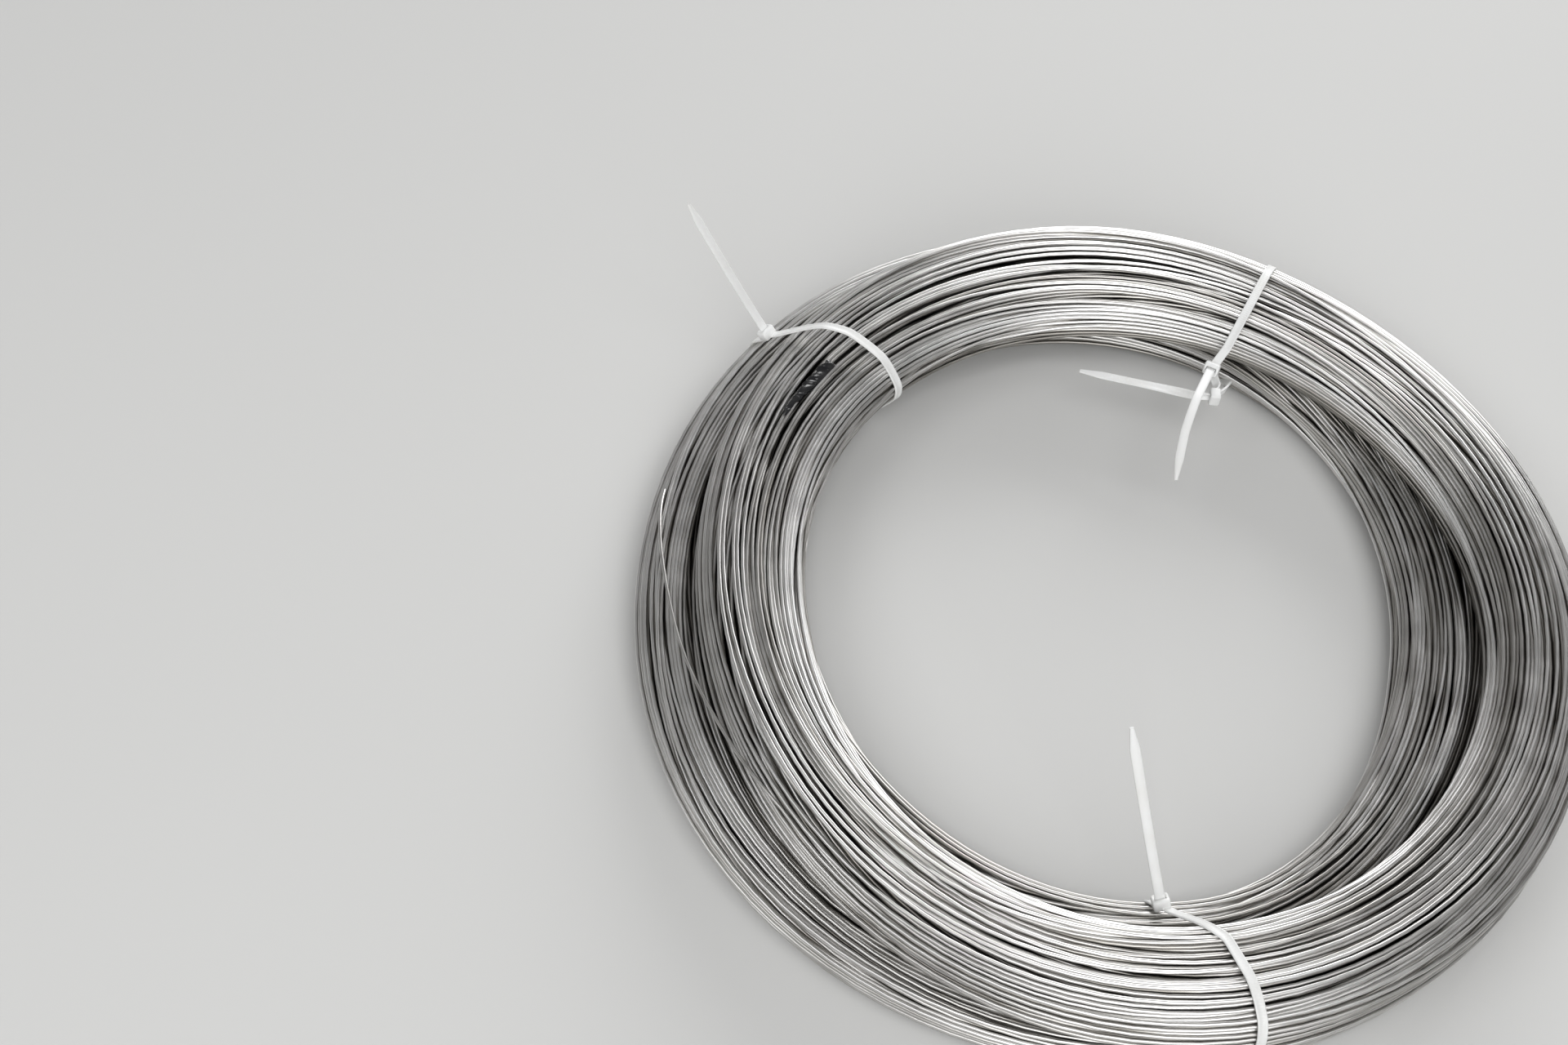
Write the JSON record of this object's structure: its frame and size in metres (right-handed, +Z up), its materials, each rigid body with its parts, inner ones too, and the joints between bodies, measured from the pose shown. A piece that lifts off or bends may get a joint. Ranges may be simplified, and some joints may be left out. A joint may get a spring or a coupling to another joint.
{
  "type": "wire coil",
  "caption": "Round coil of fine nickel alloy wire lying flat, its loose turns gathered by nylon cable ties, with a bit of black tape round a few turns.",
  "frame": {"origin": "on the floor, at the axis of the coil's eye, under the middle of the part's box", "axes": "+Z up along the coil's axis; +Y away from the side that the picture was taken from, +X to its right"},
  "size_m": [0.4819, 0.482, 0.1232],
  "materials": {
    "wire": "drawn wire, satin",
    "nylon": "natural moulded nylon",
    "tape": "creased vinyl tape"
  },
  "bodies": {
    "root": {"wire_coil": "wire", "tie_upper_left": "nylon", "tie_bottom": "nylon", "tie_upper_right_long": "nylon", "tie_upper_right_short": "nylon", "tape_wrap": "tape"}
  },
  "joints": []
}
